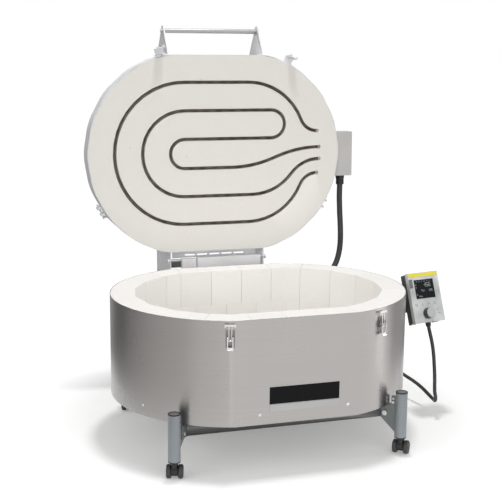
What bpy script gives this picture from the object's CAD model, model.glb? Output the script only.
import math
import bmesh
import bpy
from mathutils import Matrix, Vector


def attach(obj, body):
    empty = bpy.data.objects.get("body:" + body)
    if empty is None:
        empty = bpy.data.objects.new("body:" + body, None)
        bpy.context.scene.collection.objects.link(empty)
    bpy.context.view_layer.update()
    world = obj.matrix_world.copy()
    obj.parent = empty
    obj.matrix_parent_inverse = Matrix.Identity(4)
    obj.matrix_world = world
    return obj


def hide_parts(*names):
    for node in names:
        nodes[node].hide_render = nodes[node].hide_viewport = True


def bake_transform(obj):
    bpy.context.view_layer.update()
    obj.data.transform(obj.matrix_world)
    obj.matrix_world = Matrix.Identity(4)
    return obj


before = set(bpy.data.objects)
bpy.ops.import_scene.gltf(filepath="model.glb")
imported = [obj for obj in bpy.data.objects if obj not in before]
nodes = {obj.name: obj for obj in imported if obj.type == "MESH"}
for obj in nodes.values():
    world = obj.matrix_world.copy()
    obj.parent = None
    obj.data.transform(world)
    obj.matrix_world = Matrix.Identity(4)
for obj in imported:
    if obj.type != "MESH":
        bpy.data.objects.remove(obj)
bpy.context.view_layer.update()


# The camera stands to the left of the kiln with a long lens, a little above the open chamber.
# The drawing is in millimetres from the middle of the casing, and the scene is in metres from the
# middle of the whole kiln.
DRAWING_X, DRAWING_Y = 84.9784, 137.5793


def from_drawing(x, y, z):
    """A point of the drawing, in millimetres, as a place in the scene."""
    return Vector(((x - DRAWING_X) / 1000, (y - DRAWING_Y) / 1000, z / 1000))


def put_in_scene(name, data):
    """A mesh, a lamp or a camera as an object of the scene."""
    made = bpy.data.objects.new(name, data)
    bpy.context.scene.collection.objects.link(made)
    return made


look = Vector((0.2983, 0.9355, -0.1894)).normalized()
level_right = Vector((0.9527, -0.3038, 0.0)).normalized()
level_down = look.cross(level_right).normalized()
lean = 0.0098
side = (level_right * math.cos(lean) - level_down * math.sin(lean)).normalized()
up = -(level_right * math.sin(lean) + level_down * math.cos(lean)).normalized()
place = from_drawing(-1011.4, -3077.3, 1204.7)
camera_data = bpy.data.cameras.new("photo_camera")
camera_data.sensor_width = 36
camera_data.lens = 78.6
camera_data.shift_y = -0.0047
camera_data.clip_end = 60
camera = put_in_scene("photo_camera", camera_data)
camera.matrix_world = Matrix((
    (side.x, up.x, -look.x, place.x),
    (side.y, up.y, -look.y, place.y),
    (side.z, up.z, -look.z, place.z),
    (0, 0, 0, 1)))
bpy.context.scene.camera = camera


# The two cables: a thick one that feeds the lid, and a thin one that links the controller to the
# electrics box, both with a moulded rubber sheath. Each leaves its gland straight, sags under its
# own weight and ends in a gland of the electrics box.
def new_material(name):
    """A new material, with its nodes and its shader to fill in."""
    made = bpy.data.materials.new(name)
    made.use_nodes = True
    return made, made.node_tree, made.node_tree.nodes["Principled BSDF"]


def add(tree, kind, **values):
    """A node with its settings and its unlinked inputs filled in."""
    node = tree.nodes.new(kind)
    for key, value in values.items():
        if hasattr(node, key):
            setattr(node, key, value)
        else:
            node.inputs[key.replace("_", " ")].default_value = value
    return node


def shaded(colour, share, lift=0.0):
    """A colour made darker or lighter by a share."""
    return [min(1, c * share + lift) for c in colour]


def two_tones(tree, dark, light, start=0.0, end=1.0):
    """A ramp from a darker to a lighter shade."""
    ramp = add(tree, "ShaderNodeValToRGB")
    first, last = ramp.color_ramp.elements
    first.position, last.position = start, end
    first.color, last.color = (*dark, 1), (*light, 1)
    return ramp


def rubber(name, colour, roughness):
    """Moulded rubber or soft plastic: slightly mottled, with a fine matt skin and dust in it."""
    made, tree, shader = new_material(name)
    link = tree.links.new
    where = add(tree, "ShaderNodeTexCoord")
    mottle = add(tree, "ShaderNodeTexNoise", Scale=180.0, Detail=3.0)
    patch = add(tree, "ShaderNodeTexNoise", Scale=14.0, Detail=4.0)
    link(where.outputs["Object"], mottle.inputs["Vector"])
    link(where.outputs["Object"], patch.inputs["Vector"])
    shade = two_tones(tree, shaded(colour, 0.75), shaded(colour, 1.35, 0.003), 0.3, 0.75)
    link(patch.outputs["Fac"], shade.inputs["Fac"])
    link(shade.outputs["Color"], shader.inputs["Base Color"])
    dull = add(tree, "ShaderNodeMapRange", From_Min=0.3, From_Max=0.7,
               To_Min=roughness - 0.08, To_Max=roughness + 0.1)
    link(patch.outputs["Fac"], dull.inputs["Value"])
    link(dull.outputs["Result"], shader.inputs["Roughness"])
    relief = add(tree, "ShaderNodeBump", Strength=0.12, Distance=0.0004)
    link(mottle.outputs["Fac"], relief.inputs["Height"])
    link(relief.outputs["Normal"], shader.inputs["Normal"])
    return made


def smooth_route(points, cuts):
    """Points along one smooth line through the given points."""
    found = []
    for i in range(len(points) - 1):
        a, b, c = points[max(i - 1, 0)], points[i], points[i + 1]
        d = points[min(i + 2, len(points) - 1)]
        for k in range(cuts):
            t = k / cuts
            found.append(0.5 * (2 * b + (c - a) * t + (2 * a - 5 * b + 4 * c - d) * t * t
                                + (3 * b - 3 * c + d - a) * t ** 3))
    return found + [points[-1]]


def join_rings(made, rings):
    """Faces from each ring of points to the next, and one across each end."""
    sides = len(rings[0])
    for lower, upper in zip(rings, rings[1:]):
        for k in range(sides):
            after = (k + 1) % sides
            made.faces.new((lower[k], lower[after], upper[after], upper[k]))
    made.faces.new(list(reversed(rings[0])))
    made.faces.new(rings[-1])


def tube(name, route, radius, sides, material):
    """A round tube along a route, with no twist between its rings."""
    rings, made, across = [], bmesh.new(), None
    for i, p in enumerate(route):
        ahead = (route[min(i + 1, len(route) - 1)] - route[max(i - 1, 0)]).normalized()
        if across is None:
            across = ahead.orthogonal().normalized()
        across = (across - ahead * across.dot(ahead)).normalized()
        other = ahead.cross(across)
        ring = []
        for k in range(sides):
            a = math.tau * k / sides
            ring.append(made.verts.new(p + radius * (across * math.cos(a) + other * math.sin(a))))
        rings.append(ring)
    join_rings(made, rings)
    mesh = bpy.data.meshes.new(name)
    made.to_mesh(mesh)
    made.free()
    mesh.shade_smooth()
    mesh.materials.append(material)
    return put_in_scene(name, mesh)


cable_rubber = rubber("cable_rubber", (0.034, 0.035, 0.036), roughness=0.5)
lid_cable_d, lid_cable_sides = 0.02, 24
lid_cable_points = [from_drawing(*p) for p in (
    (463.03, 503.4, 704.7), (463.03, 503.04, 693.2), (462.6, 502.4, 650), (463, 500.5, 625),
    (463.5, 498, 595), (465, 495, 560), (466, 492, 520), (465, 490, 480), (459, 487, 444),
    (446, 481, 412), (424, 472, 384), (396, 462, 358), (362, 452, 336), (326, 442, 320),
    (290, 434, 309), (258, 428, 303), (232, 425.4, 301.2), (209, 425, 301), (201, 425, 301))]
lid_cable_route = smooth_route(lid_cable_points, 5)
lid_cable = tube("lid_cable_run", lid_cable_route, lid_cable_d / 2, lid_cable_sides, cable_rubber)
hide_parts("lid_cable")
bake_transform(lid_cable)

thin_cable_d, thin_cable_sides = 0.0115, 16
thin_cable_points = [from_drawing(*p) for p in (
    (570.6, -12.6, 300.8), (571.2, -16.4, 290.0), (572.3, -24, 274.2), (574.1, -37, 246.1),
    (575, -47, 215.6), (574.8, -55, 184.6), (574.7, -61, 153.1), (574.1, -65, 129.4),
    (574.1, -68, 96.2), (581.6, -61.8, 73.2), (589.2, -45, 56.3), (596.8, -22, 50.2),
    (596.5, 5.7, 54.5), (593, 43.2, 64.4), (588, 78.2, 72.2), (582, 111.8, 77.7),
    (575, 143.8, 82.1), (565, 194, 89), (551, 243, 99), (532, 289, 113), (507, 330, 130),
    (476, 364, 151), (440, 389, 167), (400, 404, 182), (358, 412, 196), (315, 415, 208),
    (273, 414, 218), (240, 411.5, 224.5), (213, 410, 226), (201, 410, 226))]
thin_cable_route = smooth_route(thin_cable_points, 4)
thin_cable = tube("controller_cable_run", thin_cable_route, thin_cable_d / 2, thin_cable_sides,
                  cable_rubber)
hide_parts("controller_cable")
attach(thin_cable, "kiln_body")


# The casing: a band of brushed stainless sheet rolled round the ends, over a tray of the same
# sheet that closes it below. It was wiped clean many times, so its fine lines run round the kiln
# and its shine is uneven.
def dress(name, material, ease=0.0, angle=35, steps=2):
    """Welds a part's faces together, takes the sharpness off its edges and gives it its finish."""
    part = nodes[name]
    if "custom_normal" in part.data.attributes:
        part.data.attributes.remove(part.data.attributes["custom_normal"])
    weld = part.modifiers.new("joined", "WELD")
    weld.merge_threshold = 0.00002
    if ease:
        edge = part.modifiers.new("deburred", "BEVEL")
        edge.width = ease
        edge.segments = steps
        edge.limit_method = "ANGLE"
        edge.angle_limit = math.radians(angle)
    part.data.shade_smooth()
    even = part.modifiers.new("even", "WEIGHTED_NORMAL")
    even.keep_sharp = True
    part.data.materials.clear()
    part.data.materials.append(material)
    return part


def make_effect(name, inputs, outputs):
    """A named effect that several finishes share, with its inputs, its outputs and its links."""
    group = bpy.data.node_groups.new(name, "ShaderNodeTree")
    for label, kind, value in inputs:
        socket = group.interface.new_socket(label, in_out="INPUT", socket_type=kind)
        socket.default_value = value
    for label, kind in outputs:
        group.interface.new_socket(label, in_out="OUTPUT", socket_type=kind)
    given, result = group.nodes.new("NodeGroupInput"), group.nodes.new("NodeGroupOutput")
    return group, given, result, group.links.new


def place_effect(tree, effect, **values):
    """An effect placed in a material, with the values that this material gives it."""
    node = add(tree, "ShaderNodeGroup", node_tree=effect)
    for label, value in values.items():
        node.inputs[label].default_value = value
    return node


# Fine lines left by a belt or a roller, in long broken strokes
brush_lines, given, result, link = make_effect(
    "brush lines",
    [("Stretch", "NodeSocketVector", (2.0, 2.0, 700.0)), ("Depth", "NodeSocketFloat", 0.25)],
    [("Lines", "NodeSocketFloat"), ("Normal", "NodeSocketVector")])
where = add(brush_lines, "ShaderNodeTexCoord")
stretched = add(brush_lines, "ShaderNodeVectorMath", operation="MULTIPLY")
lines = add(brush_lines, "ShaderNodeTexNoise", Scale=1.0, Detail=5.0, Roughness=0.65)
relief = add(brush_lines, "ShaderNodeBump", Distance=0.0002)
link(where.outputs["Object"], stretched.inputs[0])
link(given.outputs["Stretch"], stretched.inputs[1])
link(stretched.outputs["Vector"], lines.inputs["Vector"])
link(lines.outputs["Fac"], relief.inputs["Height"])
link(given.outputs["Depth"], relief.inputs["Strength"])
link(lines.outputs["Fac"], result.inputs["Lines"])
link(relief.outputs["Normal"], result.inputs["Normal"])

# Broad soft smears of handling, cleaning and dust
smears, given, result, link = make_effect(
    "smears",
    [("Size", "NodeSocketFloat", 6.0), ("Low", "NodeSocketFloat", 0.3),
     ("High", "NodeSocketFloat", 0.4)],
    [("Value", "NodeSocketFloat"), ("Mask", "NodeSocketFloat")])
where = add(smears, "ShaderNodeTexCoord")
cloud = add(smears, "ShaderNodeTexNoise", Detail=4.0, Roughness=0.5, Distortion=0.15)
ranged = add(smears, "ShaderNodeMapRange", From_Min=0.3, From_Max=0.7)
link(where.outputs["Object"], cloud.inputs["Vector"])
link(given.outputs["Size"], cloud.inputs["Scale"])
link(cloud.outputs["Fac"], ranged.inputs["Value"])
link(given.outputs["Low"], ranged.inputs["To Min"])
link(given.outputs["High"], ranged.inputs["To Max"])
link(ranged.outputs["Result"], result.inputs["Value"])
link(cloud.outputs["Fac"], result.inputs["Mask"])


def brushed_steel(name, colour, low, high, stretch, depth, streak=0.05):
    """Bare steel with brush lines one way, and a shine between low and high in soft smears."""
    made, tree, shader = new_material(name)
    link = tree.links.new
    brush = place_effect(tree, brush_lines, Stretch=stretch, Depth=depth)
    smear = place_effect(tree, smears, Low=low, High=high)
    tone = two_tones(tree, shaded(colour, 1 - streak), shaded(colour, 1 + streak), 0.35, 0.65)
    link(brush.outputs["Lines"], tone.inputs["Fac"])
    link(tone.outputs["Color"], shader.inputs["Base Color"])
    link(smear.outputs["Value"], shader.inputs["Roughness"])
    link(brush.outputs["Normal"], shader.inputs["Normal"])
    shader.inputs["Metallic"].default_value = 1.0
    return made, tree, shader


jacket_steel, tree, shader = brushed_steel(
    "jacket_steel", (0.43, 0.413, 0.402), low=0.26, high=0.33, stretch=(2.0, 2.0, 700.0),
    depth=0.09, streak=0.035)
shader.inputs["Anisotropic"].default_value = 0.8
shader.inputs["Anisotropic Rotation"].default_value = 0.25
around = add(tree, "ShaderNodeTangent", direction_type="RADIAL", axis="Z")
tree.links.new(around.outputs["Tangent"], shader.inputs["Tangent"])
dress("jacket", jacket_steel, ease=0.0005)
dress("base_tray", jacket_steel, ease=0.0003)


# The screws and bolts that hold the jacket, the gussets and the lid's carriers, and the turned
# rods of the hinge. All are bright steel, rubbed the same in every direction.
bright_steel, *_ = brushed_steel("bright_steel", (0.72, 0.72, 0.71), low=0.18, high=0.3,
                                 stretch=(60, 60, 60), depth=0.08)
for part in ("jacket_screws", "gusset_bolts", "carrier_bolts"):
    dress(part, bright_steel, ease=0.0004)
for part in ("hinge_axle", "cross_rod"):
    dress(part, bright_steel, ease=0.0006)


# The handle bar: a round steel bar, drawn and left grey, so its lines run along it. It goes
# through the horns of both carriers.
bar_steel, *_ = brushed_steel("bar_steel", (0.42, 0.42, 0.42), low=0.3, high=0.42,
                              stretch=(60, 900, 900), depth=0.08)
dress("handle_bar", bar_steel, ease=0.0006)


# The lining: light insulating bricks, sawn and rubbed flat, in two courses round a brick floor.
# They are laid dry, full of fine pores, and each is a slightly different cream.
pore_pits, given, result, link = make_effect(
    "pores",
    [("Fine", "NodeSocketFloat", 520.0), ("Coarse", "NodeSocketFloat", 90.0),
     ("Depth", "NodeSocketFloat", 0.5)],
    [("Pits", "NodeSocketFloat"), ("Grain", "NodeSocketFloat"), ("Normal", "NodeSocketVector")])
where = add(pore_pits, "ShaderNodeTexCoord")
grain = add(pore_pits, "ShaderNodeTexNoise", Detail=6.0, Roughness=0.7)
holes = add(pore_pits, "ShaderNodeTexVoronoi", feature="F1")
pits = add(pore_pits, "ShaderNodeMapRange", From_Min=0.05, From_Max=0.22)
height = add(pore_pits, "ShaderNodeMath", operation="MULTIPLY_ADD")
height.inputs[1].default_value = 0.5
relief = add(pore_pits, "ShaderNodeBump", Distance=0.0007)
link(where.outputs["Object"], grain.inputs["Vector"])
link(where.outputs["Object"], holes.inputs["Vector"])
link(given.outputs["Fine"], holes.inputs["Scale"])
link(given.outputs["Coarse"], grain.inputs["Scale"])
link(holes.outputs["Distance"], pits.inputs["Value"])
link(grain.outputs["Fac"], height.inputs[0])
link(pits.outputs["Result"], height.inputs[2])
link(height.outputs["Value"], relief.inputs["Height"])
link(given.outputs["Depth"], relief.inputs["Strength"])
link(pits.outputs["Result"], result.inputs["Pits"])
link(grain.outputs["Fac"], result.inputs["Grain"])
link(relief.outputs["Normal"], result.inputs["Normal"])


def fired_clay(name, light, dark, specks, depth):
    """Porous white brick or board, with a few brown specks and a shade of its own per block."""
    made, tree, shader = new_material(name)
    link = tree.links.new
    pores = place_effect(tree, pore_pits, Depth=depth)
    block = add(tree, "ShaderNodeNewGeometry")
    tone = two_tones(tree, dark, light)
    mix = add(tree, "ShaderNodeMath", operation="MULTIPLY_ADD")
    mix.inputs[1].default_value = 0.45
    link(block.outputs["Random Per Island"], mix.inputs[0])
    link(pores.outputs["Grain"], mix.inputs[2])
    link(mix.outputs["Value"], tone.inputs["Fac"])

    where = add(tree, "ShaderNodeTexCoord")
    spots = add(tree, "ShaderNodeTexVoronoi", feature="F1", Scale=specks)
    spot = add(tree, "ShaderNodeMapRange", From_Min=0.02, From_Max=0.05)
    chance = add(tree, "ShaderNodeSeparateColor")
    absent = add(tree, "ShaderNodeMath", operation="GREATER_THAN")
    absent.inputs[1].default_value = 0.38
    clean = add(tree, "ShaderNodeMath", operation="MAXIMUM")
    link(where.outputs["Object"], spots.inputs["Vector"])
    link(spots.outputs["Distance"], spot.inputs["Value"])
    link(spots.outputs["Color"], chance.inputs["Color"])
    link(chance.outputs["Red"], absent.inputs[0])
    link(absent.outputs["Value"], clean.inputs[0])
    link(spot.outputs["Result"], clean.inputs[1])
    dotted = add(tree, "ShaderNodeMix", data_type="RGBA")
    dotted.inputs["A"].default_value = (0.36, 0.27, 0.2, 1)
    link(clean.outputs["Value"], dotted.inputs["Factor"])
    link(tone.outputs["Color"], dotted.inputs["B"])
    link(dotted.outputs["Result"], shader.inputs["Base Color"])

    rough = add(tree, "ShaderNodeMapRange", To_Min=0.95, To_Max=0.8)
    link(pores.outputs["Pits"], rough.inputs["Value"])
    link(rough.outputs["Result"], shader.inputs["Roughness"])
    link(pores.outputs["Normal"], shader.inputs["Normal"])
    shader.inputs["Specular IOR Level"].default_value = 0.25
    return made


brick_white = fired_clay("brick_white", light=(0.91, 0.893, 0.868), dark=(0.85, 0.828, 0.798),
                         specks=30.0, depth=0.3)
for part in ("wall_bricks", "floor_bricks"):
    dress(part, brick_white, ease=0.0012, angle=30)


# The bed joint between the two courses of bricks: thin mortar, wiped in flush from the chamber's
# side, so that only the upright joints show. It follows the flats of the bricks.
def add_box(made, place, low, high):
    """A box between two corners in a frame of its own, which place turns into the scene's."""
    (x0, y0, z0), (x1, y1, z1) = low, high
    v = [made.verts.new(place(x, y, z)) for z in (z0, z1) for y in (y0, y1) for x in (x0, x1)]
    for quad in ((0, 2, 3, 1), (4, 5, 7, 6), (0, 1, 5, 4), (2, 6, 7, 3), (0, 4, 6, 2),
                 (1, 3, 7, 5)):
        made.faces.new([v[k] for k in quad])


def made_piece(name, made, material, body, ease=0.0):
    """A finished piece from its raw faces, with eased edges, that moves with a body."""
    crisp = math.radians(35)
    bmesh.ops.recalc_face_normals(made, faces=made.faces)
    mesh = bpy.data.meshes.new(name)
    made.to_mesh(mesh)
    made.free()
    piece = put_in_scene(name, mesh)
    if ease:
        edge = piece.modifiers.new("eased", "BEVEL")
        edge.width = ease
        edge.segments = 2
        edge.limit_method = "ANGLE"
        edge.angle_limit = crisp
    mesh.shade_smooth()
    mesh.set_sharp_from_angle(angle=crisp)
    mesh.materials.append(material)
    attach(piece, body)
    return piece


mortar = fired_clay("mortar", light=(0.90, 0.88, 0.855), dark=(0.86, 0.84, 0.81),
                    specks=30.0, depth=0.2)
chamber_end_r, chamber_end_x, chamber_half = 289.5, 91.5636, 278.5
brick_angle, joint_low, joint_high, joint_front, joint_back = 20.7, 337.9, 339.5, 0.05, 14.0
last_angle = math.asin(chamber_half / chamber_end_r)
end_angles = [-last_angle] + [math.radians(brick_angle * k) for k in range(-3, 4)] + [last_angle]
ring = [(chamber_end_x + chamber_end_r * math.cos(a), chamber_end_r * math.sin(a))
        for a in end_angles]
ring = ring + [(-x, -y) for x, y in ring]
made = bmesh.new()
for k in range(len(ring)):
    (ax, ay), (bx, by) = ring[k], ring[(k + 1) % len(ring)]
    n = math.hypot(bx - ax, by - ay)
    ux, uy = (bx - ax) / n, (by - ay) / n

    def beside(along, out, z, ax=ax, ay=ay, ux=ux, uy=uy):
        return from_drawing(ax + ux * along + uy * out, ay + uy * along - ux * out, z)
    add_box(made, beside, (0.0, joint_front, joint_low), (n, joint_back, joint_high))
made_piece("bed_joint", made, mortar, "kiln_body")


# Under the floor bricks lies a pressed board. The thermocouple's sheath, low in the back wall, and
# the bushes that lead the heating wires through the lid are dense alumina.
board_white = fired_clay("board_white", light=(0.86, 0.84, 0.80), dark=(0.78, 0.75, 0.70),
                         specks=20.0, depth=0.3)
dress("floor_board", board_white, ease=0.001)
alumina = fired_clay("alumina", light=(0.84, 0.80, 0.72), dark=(0.76, 0.71, 0.62),
                     specks=60.0, depth=0.1)
dress("thermocouple", alumina, ease=0.0004)
dress("wire_bushes", alumina, ease=0.0006)


# The stand: a welded frame of square tube under the casing, bent gusset plates, and four round
# tube legs bolted to them. All are powder coated, with a slightly rippled skin.
paint_skin, given, result, link = make_effect(
    "paint skin",
    [("Ripple", "NodeSocketFloat", 900.0), ("Depth", "NodeSocketFloat", 0.08)],
    [("Normal", "NodeSocketVector")])
where = add(paint_skin, "ShaderNodeTexCoord")
ripple = add(paint_skin, "ShaderNodeTexNoise", Detail=2.0)
relief = add(paint_skin, "ShaderNodeBump", Distance=0.0002)
link(where.outputs["Object"], ripple.inputs["Vector"])
link(given.outputs["Ripple"], ripple.inputs["Scale"])
link(ripple.outputs["Fac"], relief.inputs["Height"])
link(given.outputs["Depth"], relief.inputs["Strength"])
link(relief.outputs["Normal"], result.inputs["Normal"])


def paint(name, colour, low=0.32, high=0.45, depth=0.1, metallic=0.0, drift=0.06, specular=0.5):
    """Paint, enamel or hard plastic whose shade and shine drift a little over the surface."""
    made, tree, shader = new_material(name)
    link = tree.links.new
    skin = place_effect(tree, paint_skin, Depth=depth)
    smear = place_effect(tree, smears, Size=9.0, Low=low, High=high)
    tone = two_tones(tree, shaded(colour, 1 - drift), shaded(colour, 1 + drift), 0.3, 0.7)
    link(smear.outputs["Mask"], tone.inputs["Fac"])
    link(tone.outputs["Color"], shader.inputs["Base Color"])
    link(smear.outputs["Value"], shader.inputs["Roughness"])
    link(skin.outputs["Normal"], shader.inputs["Normal"])
    shader.inputs["Metallic"].default_value = metallic
    shader.inputs["Specular IOR Level"].default_value = specular
    return made


frame_paint = paint("frame_paint", (0.155, 0.165, 0.162))
tube_paint = paint("tube_paint", (0.275, 0.30, 0.318), metallic=0.25)
gusset_paint = paint("gusset_paint", (0.20, 0.22, 0.216), metallic=0.25)
for part in ("long_beams", "cross_beams"):
    dress(part, frame_paint, ease=0.002)
dress("leg_tubes", tube_paint, ease=0.0006)
dress("leg_gussets", gusset_paint, ease=0.0006)


# The casters: four black plastic forks with two moulded wheels each, pushed with their stems into
# plugs in the legs. The same black plastic makes the plugs at both ends of each leg.
black_plastic = rubber("black_plastic", (0.009, 0.009, 0.01), roughness=0.42)
tread_rubber = rubber("tread_rubber", (0.036, 0.037, 0.038), roughness=0.5)
dress("leg_plugs", black_plastic, ease=0.0008)
for n in range(1, 5):
    dress("caster_fork_%d" % n, black_plastic, ease=0.0012)
    dress("caster_wheels_%d" % n, tread_rubber, ease=0.0008)


# The middles of the legs' top caps: dull grey plastic discs, a little below the black rim and
# faintly dished. They are pressed into the caps.
def add_turned(made, place, profile, sides=32):
    """A form turned on the z axis of a frame of its own, from pairs of radius and height."""
    spokes = [math.tau * k / sides for k in range(sides)]
    join_rings(made, [[made.verts.new(place(r * math.cos(a), r * math.sin(a), z))
                       for a in spokes] for r, z in profile])


cap_grey = rubber("cap_grey", (0.17, 0.168, 0.17), roughness=0.55)
leg_x, leg_y, cap_seat = 341.1, 308.1, 191.4
cap_profile = ((13.6, 0.0), (13.6, 0.9), (12.6, 1.15), (9.0, 0.8), (3.0, 0.65))
made = bmesh.new()
for x in (-leg_x, leg_x):
    for y in (-leg_y, leg_y):
        def at_cap(u, v, w, x=x, y=y):
            return from_drawing(x + u, y + v, cap_seat + w)
        add_turned(made, at_cap, cap_profile)
made_piece("leg_cap_middles", made, cap_grey, "kiln_body")


# The plates on the front: a dark enamelled one and a plain light strip below it. Both are thin
# sheet metal, fixed flat on the jacket.
plate_black = paint("plate_black", (0.006, 0.006, 0.007), low=0.3, high=0.4, specular=0.1)
plate_grey = paint("plate_grey", (0.45, 0.45, 0.445), low=0.35, high=0.45, metallic=0.6)
dress("maker_plate", plate_black, ease=0.0003)
dress("plate_strip", plate_grey, ease=0.0003)


# The toggle latches: pressed levers and wire bails of bright steel on darker pressed bases, which
# are fixed to the jacket just below the rim.
latch_steel, *_ = brushed_steel("latch_steel", (0.80, 0.79, 0.77), low=0.12, high=0.22,
                                stretch=(80, 80, 80), depth=0.1)
base_steel, *_ = brushed_steel("base_steel", (0.26, 0.255, 0.25), low=0.28, high=0.4,
                               stretch=(80, 80, 80), depth=0.1)
dress("latch_bases", base_steel, ease=0.0004)
for part in ("lever_left", "lever_right", "bail_left", "bail_right"):
    dress(part, latch_steel, ease=0.0004)


# The lid: a folded band of painted sheet round a thick slab of vacuum formed fibre, which it grips
# all round. The drawing has it shut, and it is turned open about the hinge's axle.
RIM, AXLE, HINGE_Y = 453.0, 407.0, 410.0
OPEN = math.radians(91.8)


def raised(x, y, z):
    """Where a point of the shut lid is when the lid stands open."""
    dy, dz = y - HINGE_Y, z - AXLE
    return from_drawing(x, HINGE_Y + dy * math.cos(OPEN) + dz * math.sin(OPEN),
                        AXLE - dy * math.sin(OPEN) + dz * math.cos(OPEN))


corner_length, corner_roll = 0.06, 0.03
corner_least, corner_most = math.radians(6), math.radians(40)
through_lid = (raised(0, 0, 1) - raised(0, 0, 0)).normalized()


def is_corner(edge):
    """Whether an edge is one of the lid's upright corners between two of its flats."""
    along = (edge.verts[0].co - edge.verts[1].co).normalized()
    return (len(edge.link_faces) == 2 and edge.calc_length() > corner_length
            and abs(along.dot(through_lid)) > 0.999
            and corner_least < edge.calc_face_angle() < corner_most)


def rolled(name, part, material, ease):
    """A part of the lid with the corners between its flats rolled round."""
    made = bmesh.new()
    made.from_mesh(nodes[part].data)
    made.transform(nodes[part].matrix_world)
    bmesh.ops.remove_doubles(made, verts=made.verts, dist=0.00002)
    bmesh.ops.dissolve_limit(made, angle_limit=math.radians(0.4), verts=made.verts,
                             edges=made.edges)
    bmesh.ops.bevel(made, geom=[e for e in made.edges if is_corner(e)], offset=corner_roll,
                    segments=6, profile=0.5, affect="EDGES", clamp_overlap=False)
    piece = made_piece(name, made, material, "lid", ease)
    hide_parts(part)


light_paint = paint("light_paint", (0.79, 0.795, 0.815), low=0.34, high=0.46)
lid_white = fired_clay("lid_white", light=(0.88, 0.855, 0.81), dark=(0.83, 0.80, 0.755),
                       specks=26.0, depth=0.3)
rolled("lid_band", "lid_shell", light_paint, ease=0.0006)
rolled("lid_slab", "lid_insulation", lid_white, ease=0.0008)


# What the lid carries: two folded carriers, the flange and the cover at the hinge, the clamps of
# the band, the keepers of the latches and the terminal box. All are painted sheet, bolted on.
terminal_paint = paint("terminal_paint", (0.53, 0.518, 0.505), low=0.34, high=0.46)
cover_paint = paint("cover_paint", (0.90, 0.885, 0.89), low=0.34, high=0.46)
for part in ("lid_carriers", "rear_flange", "band_clamps", "latch_keepers"):
    dress(part, light_paint, ease=0.0006)
dress("terminal_box", terminal_paint, ease=0.0006)
dress("cross_cover", cover_paint, ease=0.0006)


# The heating wires: two long coils of resistance wire, wound on a rod, pulled out a little and
# laid in the grooves of the lid. They are dull brown from their first firing, and their four ends
# lead to the bushes.
def arc(x, y, r, start, end, n):
    """Points along an arc round a middle, between two angles in degrees."""
    turns = [math.radians(start + (end - start) * i / n) for i in range(n + 1)]
    return [(x + r * math.cos(a), y + r * math.sin(a)) for a in turns]


def s_bend(start, end, r1, n):
    """Two arcs that lead from one straight run to another beside it."""
    dx, dy = end[0] - start[0], end[1] - start[1]
    g, turn = math.copysign(1, dy), 2 * math.atan(abs(dy) / dx)
    r2 = dx / math.sin(turn) - r1
    steps = [turn * i / n for i in range(n + 1)]
    first = [(start[0] + r1 * math.sin(a), start[1] + g * r1 - g * r1 * math.cos(a))
             for a in steps]
    last = [(end[0] - r2 * math.sin(a), end[1] - g * r2 + g * r2 * math.cos(a))
            for a in reversed(steps[:-1])]
    return first + last


groove_y, run_out, run_mid, run_in = -2.0, 237.82, 143.82, 48.88
left_x, right_x = -113.0, 193.0
outer_lead_x, mid_lead_x, inner_lead_x = 111, 125, 52
outer_bend_r, mid_bend_r, inner_bend_r = 205, 180, 400
outer_bush_x, outer_bush_y = 359, 73
mid_bush, inner_bush = (367, 24), (367, -17)
outer_run = (s_bend((outer_lead_x, groove_y - run_out), (outer_bush_x, -outer_bush_y),
                    outer_bend_r, 16)[::-1]
             + arc(left_x, groove_y, run_out, 270, 90, 48)
             + s_bend((outer_lead_x, groove_y + run_out), (outer_bush_x, outer_bush_y),
                      outer_bend_r, 16))
inner_run = (s_bend((mid_lead_x, groove_y + run_mid), mid_bush, mid_bend_r, 14)[::-1]
             + arc(left_x, groove_y, run_mid, 90, 270, 36)
             + arc(right_x, groove_y - (run_mid + run_in) / 2, (run_mid - run_in) / 2, -90, 90, 20)
             + arc(left_x, groove_y, run_in, 270, 90, 20)
             + s_bend((inner_lead_x, groove_y + run_in), inner_bush, inner_bend_r, 12))
coil_r, wire_r, pitch, turn_steps, wire_sides = 4.2, 0.9, 3.2, 9, 5
groove_depth, coil_above_floor = 12, 5.3
coil_z = RIM + groove_depth - coil_above_floor
heating_alloy = rubber("heating_alloy", (0.115, 0.088, 0.07), roughness=0.62)


def wound_wire(name, run):
    """A coil along a run, unevenly stretched as one that was laid by hand."""
    far = [0.0]
    for p, q in zip(run, run[1:]):
        far.append(far[-1] + math.hypot(q[0] - p[0], q[1] - p[1]))
    line, at = [], 0
    for i in range(int(far[-1] / pitch * turn_steps)):
        turn, angle = i / turn_steps, math.tau * i / turn_steps
        slip = 0.35 * math.sin(turn * 0.11) + 0.2 * math.sin(turn * 0.47)
        s = min(max((turn + slip) * pitch, 0.0), far[-1] - 1e-6)
        while far[at + 1] < s:
            at += 1
        while far[at] > s:
            at -= 1
        t = (s - far[at]) / (far[at + 1] - far[at])
        p, q = run[at], run[at + 1]
        x, y = p[0] + (q[0] - p[0]) * t, p[1] + (q[1] - p[1]) * t
        n = math.hypot(q[0] - p[0], q[1] - p[1])
        ax, ay = -(q[1] - p[1]) / n, (q[0] - p[0]) / n
        r = coil_r * (1 + 0.05 * math.sin(i * 0.013))
        line.append(raised(x + ax * r * math.cos(angle), y + ay * r * math.cos(angle),
                           coil_z + r * math.sin(angle)))
    return tube(name, line, wire_r / 1000, wire_sides, heating_alloy)


for name, run, node in (("outer_coil", outer_run, "heating_wire_outer"),
                        ("inner_coil", inner_run, "heating_wire_inner")):
    coil = wound_wire(name, run)
    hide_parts(node)
    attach(coil, "lid")


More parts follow.
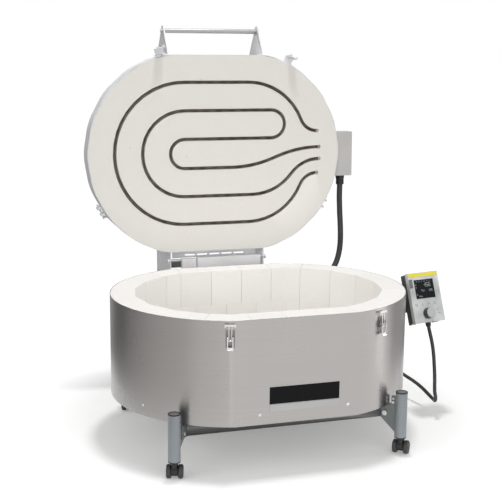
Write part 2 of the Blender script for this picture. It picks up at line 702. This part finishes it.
# The anchor web: a dark painted sheet folded down at both edges, beside the block on the cross
# rod. It is tacked to the left carrier and closes the gap to it.
web_left, web_right = -162.8, -126.2
made = bmesh.new()
for (front, foot), (back, top) in (((357.0, 471.0), (386.0, 473.0)),
                                   ((357.0, 459.0), (358.6, 471.0)),
                                   ((377.0, 466.5), (379.4, 471.0))):
    add_box(made, raised, (web_left, front, foot), (web_right, back, top))
made_piece("anchor_web", made, frame_paint, "lid", ease=0.0004)


# The fixed side of the hinge: folded brackets on the back of the casing, black coil springs on the
# axle, and two rubber stops on which the open lid rests.
dress("hinge_brackets", gusset_paint, ease=0.0006)
dress("lift_springs", paint("spring_black", (0.04, 0.04, 0.042)))
dress("stop_buffers", rubber("buffer_rubber", (0.02, 0.02, 0.02), roughness=0.6), ease=0.001)


# The electrics box: folded painted sheet on the back of the casing, with a vented cover. The
# cables go in through black plastic glands, like those on the lid and on the controller.
box_paint = paint("box_paint", (0.50, 0.51, 0.52))
dress("electrics_box", box_paint, ease=0.001)
dress("electrics_cover", box_paint, ease=0.0005)
for part in ("box_glands", "controller_gland", "lid_gland"):
    dress(part, black_plastic, ease=0.0006)


# The controller: a light front and a dark back of moulded plastic in a folded holder, turned and
# tilted to the user. A yellow strip is stuck along its top, a small cover closes its socket, and
# its knob is dark with a turned light face.
TURN, TILT = math.radians(10.4), math.radians(20.2)
CONTROLLER_X, CONTROLLER_Y, CONTROLLER_Z = 559.96, -10, 394


def on_controller(x, y, z):
    """A point of the controller, across, into and up its face, as a place in the scene."""
    back = y * math.cos(TILT) + z * math.sin(TILT)
    high = z * math.cos(TILT) - y * math.sin(TILT)
    return from_drawing(CONTROLLER_X + x * math.cos(TURN) - back * math.sin(TURN),
                        x * math.sin(TURN) + back * math.cos(TURN) + CONTROLLER_Y,
                        CONTROLLER_Z + high)


controller_light = rubber("controller_light", (0.56, 0.57, 0.57), roughness=0.45)
controller_dark = rubber("controller_dark", (0.06, 0.063, 0.066), roughness=0.45)
flap_grey = rubber("flap_grey", (0.15, 0.155, 0.155), roughness=0.5)
strip_yellow = paint("strip_yellow", (0.86, 0.74, 0.045), low=0.3, high=0.4, depth=0.0)
dress("controller_front", controller_light, ease=0.0025, steps=3)
dress("controller_back", controller_dark, ease=0.004, steps=3)
dress("controller_bracket", frame_paint, ease=0.0006)
dress("controller_flap", flap_grey, ease=0.0008)
dress("controller_strip", strip_yellow, ease=0.0003)

knob_dark = paint("knob_dark", (0.045, 0.048, 0.048), low=0.4, high=0.5, depth=0.0)
knob_face = paint("knob_face", (0.52, 0.53, 0.53), low=0.35, high=0.45, depth=0.0)
knob = dress("controller_knob", knob_dark, ease=0.0008)
knob.data.materials.append(knob_face)
housing_face = on_controller(0, 0, 0)
outward = (on_controller(0, -1, 0) - housing_face).normalized()
knob_cap = 0.015
for face in knob.data.polygons:
    ahead = (knob.data.vertices[face.vertices[0]].co - housing_face).dot(outward)
    if face.normal.dot(outward) > 0.5 and ahead > knob_cap:
        face.material_index = 1


# The display: a dark glass window set in the front, with pale digits and marks on it. These are
# made of short bars, thin and barely raised.
def add_strokes(made, strokes, at, size, width, face):
    """Thin raised bars, from pairs of points in a unit square that is placed and sized."""
    thickness = 0.25
    for x0, z0, x1, z1 in strokes:
        ax, az = at[0] + x0 * size[0], at[1] + z0 * size[1]
        bx, bz = at[0] + x1 * size[0], at[1] + z1 * size[1]
        n = math.hypot(bx - ax, bz - az) or 1.0
        ux, uz = (bx - ax) / n * width / 2, (bz - az) / n * width / 2
        ring = ((ax - ux - uz, az - uz + ux), (ax - ux + uz, az - uz - ux),
                (bx + ux + uz, bz + uz - ux), (bx + ux - uz, bz + uz + ux))
        front = [made.verts.new(on_controller(x, face, z)) for x, z in ring]
        back = [made.verts.new(on_controller(x, face + thickness, z)) for x, z in ring]
        made.faces.new(front)
        made.faces.new(list(reversed(back)))
        for k in range(4):
            made.faces.new((front[k], back[k], back[(k + 1) % 4], front[(k + 1) % 4]))


SEGMENTS = {"a": (0, 1, 1, 1), "b": (1, 1, 1, 0.5), "c": (1, 0.5, 1, 0), "d": (0, 0, 1, 0),
            "e": (0, 0.5, 0, 0), "f": (0, 1, 0, 0.5), "g": (0, 0.5, 1, 0.5)}
corners = [(math.cos(math.tau * k / 8) / 2 + 0.5, math.sin(math.tau * k / 8) / 2 + 0.5)
           for k in range(9)]
RING = [(*p, *q) for p, q in zip(corners, corners[1:])]

display_glass = paint("display_glass", (0.008, 0.01, 0.011), low=0.22, high=0.3, depth=0.0,
                      specular=0.12)
segment_pale = paint("segment_pale", (0.60, 0.64, 0.66), low=0.4, high=0.5, depth=0.0)
dress("controller_display", display_glass, ease=0.0004)
glass_face = 0.45
made = bmesh.new()
for digits, left, step, foot, size, stroke in (
        (("bcg", "afgcd", "afedcg"), -2.0, 9.5, 34.0, (6.0, 12.0), 0.9),
        (("abgc", "afedcb", "bc"), -14.0, 5.0, 19.0, (3.0, 6.0), 0.5),
        (("afgcd", "abgedc", "abcdef"), 16.0, 5.0, 19.0, (3.0, 6.0), 0.5)):
    for n, digit in enumerate(digits):
        add_strokes(made, [SEGMENTS[k] for k in digit], (left + n * step, foot), size, stroke,
                    glass_face)
# Small round marks along the top and down the left side, and a line of print at the foot
for n in range(6):
    add_strokes(made, RING[n % 3::2], (-30.0 + n * 10.5, 50.0), (3.6, 3.6), 0.6, glass_face)
for z in (40.0, 31.0, 8.0):
    add_strokes(made, RING, (-34.0, z), (3.4, 3.4), 0.6, glass_face)
add_strokes(made, [(0, 0, 1, 0), (0, 0.5, 0.6, 0.5)], (-26.0, 3.0), (14.0, 5.0), 0.7, glass_face)
made_piece("display_segments", made, segment_pale, "kiln_body")


# The symbols on the four keys, and three small marks beside them: dark grey ink, printed on the
# light plastic of the front and a little raised from it.
symbol_grey = paint("symbol_grey", (0.16, 0.165, 0.17), low=0.45, high=0.55, depth=0.0)
print_face = -0.12
made = bmesh.new()
for strokes, at, size, stroke in (
        (RING, (-46.5, -26.0), (7.0, 7.0), 1.1),
        ([(0, 0, 0.5, 1), (0.5, 1, 1, 0), (1, 0, 0, 0)], (-23.0, -25.5), (7.5, 7.0), 0.9),
        ([(0, 0.15, 0, 0.85), (0, 0.85, 1, 0.5), (1, 0.5, 0, 0.15)],
         (3.0, -25.0), (7.0, 7.0), 0.9),
        ([(0, 0, 1, 0), (1, 0, 1, 1), (1, 1, 0, 1), (0, 1, 0, 0)],
         (26.5, -24.5), (6.0, 6.0), 0.9),
        ([(0, 0, 1, 0), (0, 1, 1, 1), (0, 0, 0, 1)], (33.0, -46.5), (7.0, 4.5), 0.9),
        ([(0, 0, 1, 0), (0, 0.5, 1, 0.5)], (36.0, -55.5), (9.0, 4.0), 0.9),
        ([SEGMENTS["a"], SEGMENTS["d"], (0.2, 0, 0.2, 1)], (42.0, 14.0), (4.0, 4.0), 0.7)):
    add_strokes(made, strokes, at, size, stroke, print_face)
made_piece("key_symbols", made, symbol_grey, "kiln_body")


# The studio: a pale matt floor that is white from a little way out to the horizon, and a white
# room. Only a direct look or a reflection finds that white, so it adds no light to the kiln.
def seen_directly(tree):
    """One where a camera, a mirror or a glass looks straight at a surface, and else nothing."""
    path = add(tree, "ShaderNodeLightPath")
    first = add(tree, "ShaderNodeMath", operation="MAXIMUM")
    second = add(tree, "ShaderNodeMath", operation="MAXIMUM")
    tree.links.new(path.outputs["Is Camera Ray"], first.inputs[0])
    tree.links.new(path.outputs["Is Glossy Ray"], first.inputs[1])
    tree.links.new(first.outputs["Value"], second.inputs[0])
    tree.links.new(path.outputs["Is Transmission Ray"], second.inputs[1])
    return second


floor_half, edge_near, edge_far = 40, 0.58, 0.82
floor_mesh = bpy.data.meshes.new("studio_floor")
floor_mesh.from_pydata([(-floor_half, -floor_half, 0), (floor_half, -floor_half, 0),
                        (floor_half, floor_half, 0), (-floor_half, floor_half, 0)],
                       [], [(0, 1, 2, 3)])
put_in_scene("studio_floor", floor_mesh)
floor_white, tree, shader = new_material("studio_floor")
link = tree.links.new
shader.inputs["Roughness"].default_value = 0.9
shader.inputs["Specular IOR Level"].default_value = 0.0
shader.inputs["Emission Color"].default_value = (0.995, 1.0, 0.998, 1)
seen = seen_directly(tree)
where = add(tree, "ShaderNodeNewGeometry")
far = add(tree, "ShaderNodeVectorMath", operation="LENGTH")
lift = add(tree, "ShaderNodeMapRange", From_Min=edge_near, From_Max=edge_far,
           To_Min=0.17, To_Max=0.965)
tone = add(tree, "ShaderNodeMapRange", From_Min=edge_near, From_Max=edge_far,
           To_Min=0.90, To_Max=0.15)
glow = add(tree, "ShaderNodeMath", operation="MULTIPLY")
link(where.outputs["Position"], far.inputs[0])
link(far.outputs["Value"], lift.inputs["Value"])
link(far.outputs["Value"], tone.inputs["Value"])
link(tone.outputs["Result"], shader.inputs["Base Color"])
link(lift.outputs["Result"], glow.inputs[0])
link(seen.outputs["Value"], glow.inputs[1])
link(glow.outputs["Value"], shader.inputs["Emission Strength"])
floor_mesh.materials.append(floor_white)

room = bpy.data.worlds.new("studio")
bpy.context.scene.world = room
room.use_nodes = True
tree = room.node_tree
tree.nodes.clear()
link = tree.links.new
out = add(tree, "ShaderNodeOutputWorld")
backdrop = add(tree, "ShaderNodeBackground", Color=(1, 1, 1, 1), Strength=1.0)
ambient = add(tree, "ShaderNodeBackground", Color=(1.0, 0.995, 0.985, 1), Strength=0.45)
mixed = add(tree, "ShaderNodeMixShader")
seen = seen_directly(tree)
link(seen.outputs["Value"], mixed.inputs["Fac"])
link(ambient.outputs["Background"], mixed.inputs[1])
link(backdrop.outputs["Background"], mixed.inputs[2])
link(mixed.outputs["Shader"], out.inputs["Surface"])


# The flags: grey cards that stand in a curve round both ends of the kiln, with their feet turned
# in. They only show in the metal, and give the jacket its darker ends.
def curved_flag(name, shades):
    """A card between the first and the last angle of its shades, in degrees round the kiln."""
    start, end = shades[0][0], shades[-1][0]
    outline = ((0.95, 0.012), (1.02, 0.05), (1.12, 0.24), (1.18, 0.6), (1.2, 1.5))
    strips = 40
    points, faces = [], []
    for i in range(strips + 1):
        a = math.radians(start + (end - start) * i / strips)
        points += [(r * math.cos(a), r * math.sin(a), z) for r, z in outline]
    for i in range(strips):
        for k in range(len(outline) - 1):
            first = i * len(outline) + k
            faces.append((first, first + 1, first + len(outline) + 1, first + len(outline)))
    mesh = bpy.data.meshes.new(name)
    mesh.from_pydata(points, [], faces)
    card = put_in_scene(name, mesh)

    made, tree, shader = new_material(name)
    link = tree.links.new
    shader.inputs["Base Color"].default_value = (0, 0, 0, 1)
    shader.inputs["Specular IOR Level"].default_value = 0.0
    shader.inputs["Emission Strength"].default_value = 1.0
    where = add(tree, "ShaderNodeNewGeometry")
    parts = add(tree, "ShaderNodeSeparateXYZ")
    angle = add(tree, "ShaderNodeMath", operation="ARCTAN2")
    turned = add(tree, "ShaderNodeMath", operation="WRAP")
    turned.inputs[1].default_value = math.radians(start) + math.tau
    turned.inputs[2].default_value = math.radians(start)
    share = add(tree, "ShaderNodeMapRange", From_Min=math.radians(start),
                From_Max=math.radians(end))
    ramp = add(tree, "ShaderNodeValToRGB")
    while len(ramp.color_ramp.elements) < len(shades):
        ramp.color_ramp.elements.new(0.5)
    for stop, (degrees, shade) in zip(ramp.color_ramp.elements, shades):
        stop.position = (degrees - start) / (end - start)
        stop.color = (shade, shade, shade * 0.985, 1)
    link(where.outputs["Position"], parts.inputs[0])
    link(parts.outputs["Y"], angle.inputs[0])
    link(parts.outputs["X"], angle.inputs[1])
    link(angle.outputs["Value"], turned.inputs[0])
    link(turned.outputs["Value"], share.inputs["Value"])
    link(share.outputs["Result"], ramp.inputs["Fac"])
    link(ramp.outputs["Color"], shader.inputs["Emission Color"])
    mesh.materials.append(made)
    card.visible_camera = card.visible_diffuse = False
    card.visible_shadow = card.visible_transmission = False


curved_flag("flag_left", [(100, 0.45), (133, 0.38), (146, 0.22), (160, 0.19), (170, 0.29),
                          (181, 0.41), (193, 0.52), (205, 0.61), (218, 0.68), (229, 0.86),
                          (250, 0.98)])
curved_flag("flag_right", [(-27, 0.95), (-21, 0.85), (-13, 0.5), (4, 0.47), (18, 0.42),
                           (40, 0.4), (66, 0.5)])


# The lamps: one small box high overhead for the shadow, two narrow ones that draw bright bands on
# the jacket, and two wide fills, which the metal doesn't see.
def soft_box(name, spot, aim, width, height, power):
    """A rectangular lamp that looks from its spot at a point."""
    data = bpy.data.lights.new(name, "AREA")
    data.shape = "RECTANGLE"
    data.size, data.size_y, data.energy = width, height, power
    lamp = put_in_scene(name, data)
    lamp.location = spot
    lamp.rotation_mode = "QUATERNION"
    lamp.rotation_quaternion = (Vector(aim) - Vector(spot)).to_track_quat("-Z", "Y")
    return lamp


soft_box("top_box", (0.0, -0.2, 4.4), aim=(0, -0.1, 0.3), width=0.4, height=0.4, power=68)
soft_box("band_box", (-0.8, -3.0, 1.05), aim=(0, 0.2, 0.6), width=0.42, height=1.9, power=4)
soft_box("right_box", (2.9, -0.95, 0.9), aim=(0, 0.1, 0.4), width=0.5, height=1.6, power=8)
for name, spot, power in (("front_fill", (0.6, -3.4, 0.9), 35),
                          ("left_fill", (-3.0, -1.8, 1.6), 28)):
    fill = soft_box(name, spot, aim=(0, 0.2, 0.6), width=2.6, height=1.5, power=power)
    fill.visible_glossy = False

bpy.context.scene.view_settings.view_transform = "Standard"
